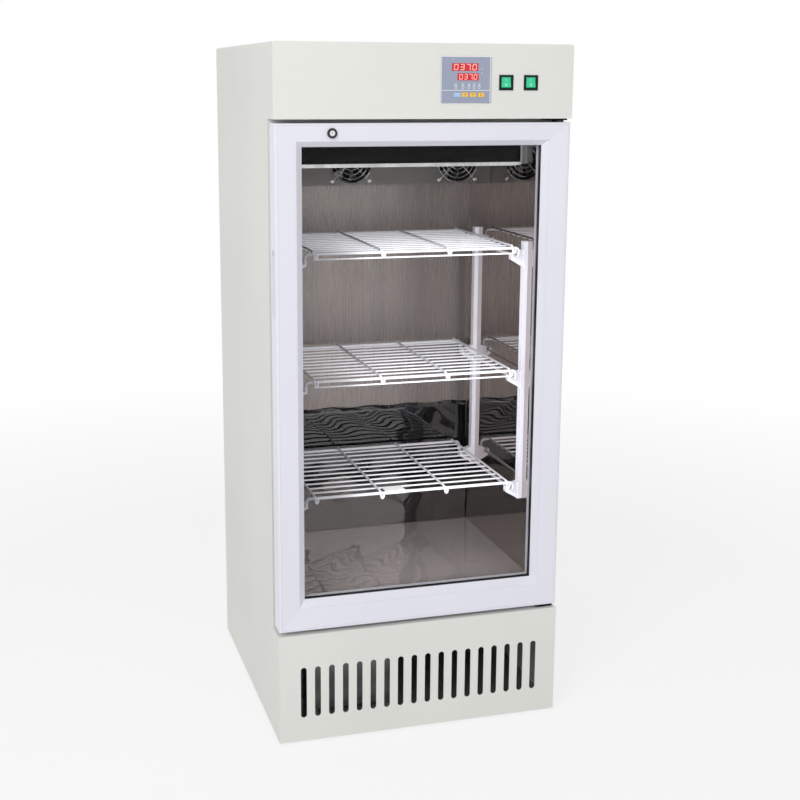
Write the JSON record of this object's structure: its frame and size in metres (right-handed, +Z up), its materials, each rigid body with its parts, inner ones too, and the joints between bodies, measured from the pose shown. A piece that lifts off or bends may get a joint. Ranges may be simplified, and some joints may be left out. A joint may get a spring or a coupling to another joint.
{
  "type": "biochemical incubator",
  "caption": "Tall laboratory incubator cabinet with a framed glass door, wire shelves in a steel chamber, a control header with a digital controller, and a slotted lower cover.",
  "frame": {"origin": "middle of the bounding box at floor level", "axes": "+Z up, front (door and controls) facing -Y, +X to the right seen from the front"},
  "size_m": [0.58, 0.6, 1.351],
  "materials": {
    "cabinet_paint": "white powder coat",
    "pan_zinc": "galvanised sheet",
    "foam": "rigid foam board",
    "liner_steel": "satin stainless sheet",
    "floor_steel": "polished stainless sheet",
    "post_white": "white coated strip",
    "frame_plastic": "satin",
    "door_plastic": "lilac white, semi gloss",
    "door_glass": "clear float glass",
    "spacer": "black warm-edge spacer",
    "seal": "pale grey",
    "lock_black": "satin black",
    "lock_chrome": "polished",
    "bush_plastic": "black nylon",
    "hinge_steel": "black",
    "shelf_coating": "white coated wire",
    "tag": "white",
    "fan_plate": "dark grey",
    "guard_wire": "bright wire",
    "fan_black": "black",
    "fins": "finned coil",
    "probe_steel": "drawn tube",
    "shield": "black",
    "trim_steel": "bright stainless",
    "lamp_white": "opal",
    "compressor_black": "black enamel",
    "rubber_black": "black",
    "controller_black": "black",
    "controller_grey": "blue grey film",
    "display_red": "red window",
    "key_blue": "pale blue",
    "key_yellow": "yellow",
    "switch_black": "black green",
    "switch_green": "lit green"
  },
  "bodies": {
    "cabinet": {"back_panel": "cabinet_paint", "base_pan": "pan_zinc", "compressor": "compressor_black", "condenser": "fins", "control_fascia": "cabinet_paint", "controller_case": "controller_black", "controller_face": "controller_grey", "cord_gland": "rubber_black", "display_windows": "display_red", "evaporator": "fins", "fan_box": "fan_plate", "fan_guard_left": "guard_wire", "fan_guard_right": "guard_wire", "fan_motors": "fan_black", "front_frame": "frame_plastic", "grille_cover": "cabinet_paint", "hinge_bracket_bottom": "hinge_steel", "hinge_bracket_top": "hinge_steel", "insulation": "foam", "lamp": "lamp_white", "lamp_shield": "shield", "lamp_trim": "trim_steel", "levelling_feet": "rubber_black", "liner_back": "liner_steel", "liner_ceiling": "liner_steel", "liner_floor": "floor_steel", "liner_sides": "liner_steel", "lower_back_panel": "floor_steel", "outer_shell": "cabinet_paint", "posts_left": "post_white", "posts_right": "post_white", "shelf_bottom": "shelf_coating", "shelf_middle": "shelf_coating", "shelf_tag": "tag", "shelf_top": "shelf_coating", "switch_housing_lamp": "switch_black", "switch_housing_power": "switch_black", "temperature_probe": "probe_steel"},
    "door": {"door_stile_left": "door_plastic", "door_stile_right": "door_plastic", "door_rail_top": "door_plastic", "door_rail_bottom": "door_plastic", "glass_outer": "door_glass", "glass_inner": "door_glass", "glass_spacer": "spacer", "door_gasket": "seal", "door_grip": "door_plastic", "lock_housing": "lock_black", "hinge_bushes": "bush_plastic"},
    "lock": {"lock_barrel": "lock_chrome"},
    "power_rocker": {"rocker_power": "switch_green"},
    "lamp_rocker": {"rocker_lamp": "switch_green"},
    "set_key": {"key_set": "key_blue"},
    "shift_key": {"key_shift": "key_yellow"},
    "down_key": {"key_down": "key_yellow"},
    "up_key": {"key_up": "key_yellow"},
    "left_fan": {"fan_wheel_left": "fan_black"},
    "right_fan": {"fan_wheel_right": "fan_black"},
    "condenser_fan": {"condenser_wheel": "fan_black"}
  },
  "joints": [
    {"name": "door_hinge", "type": "hinge", "parent": "cabinet", "child": "door", "pos_m": [0.272, -0.278, 0.7205], "axis": [0, 0, 1], "range_deg": [0, 110]},
    {"name": "lock_turn", "type": "hinge", "parent": "door", "child": "lock", "pos_m": [-0.181, -0.275, 1.189], "axis": [0, -1, 0], "range_deg": [0, 90]},
    {"name": "power_rock", "type": "hinge", "parent": "cabinet", "child": "power_rocker", "pos_m": [0.154, -0.292, 1.2803], "axis": [1, 0, 0], "range_deg": [0, 12]},
    {"name": "lamp_rock", "type": "hinge", "parent": "cabinet", "child": "lamp_rocker", "pos_m": [0.2035, -0.292, 1.2803], "axis": [1, 0, 0], "range_deg": [0, 12]},
    {"name": "set_press", "type": "slide", "parent": "cabinet", "child": "set_key", "axis": [0, 1, 0], "range_m": [0, 0.0008], "stiffness_N_per_m": 800, "springref_m": -0.0006},
    {"name": "shift_press", "type": "slide", "parent": "cabinet", "child": "shift_key", "axis": [0, 1, 0], "range_m": [0, 0.0008], "stiffness_N_per_m": 800, "springref_m": -0.0006},
    {"name": "down_press", "type": "slide", "parent": "cabinet", "child": "down_key", "axis": [0, 1, 0], "range_m": [0, 0.0008], "stiffness_N_per_m": 800, "springref_m": -0.0006},
    {"name": "up_press", "type": "slide", "parent": "cabinet", "child": "up_key", "axis": [0, 1, 0], "range_m": [0, 0.0008], "stiffness_N_per_m": 800, "springref_m": -0.0006},
    {"name": "left_fan_spin", "type": "hinge", "parent": "cabinet", "child": "left_fan", "pos_m": [-0.058, 0.045, 1.118], "axis": [0, 1, 0], "continuous": true},
    {"name": "right_fan_spin", "type": "hinge", "parent": "cabinet", "child": "right_fan", "pos_m": [0.176, 0.045, 1.118], "axis": [0, 1, 0], "continuous": true},
    {"name": "condenser_fan_spin", "type": "hinge", "parent": "cabinet", "child": "condenser_fan", "pos_m": [-0.12, -0.134, 0.108], "axis": [0, 1, 0], "continuous": true}
  ]
}
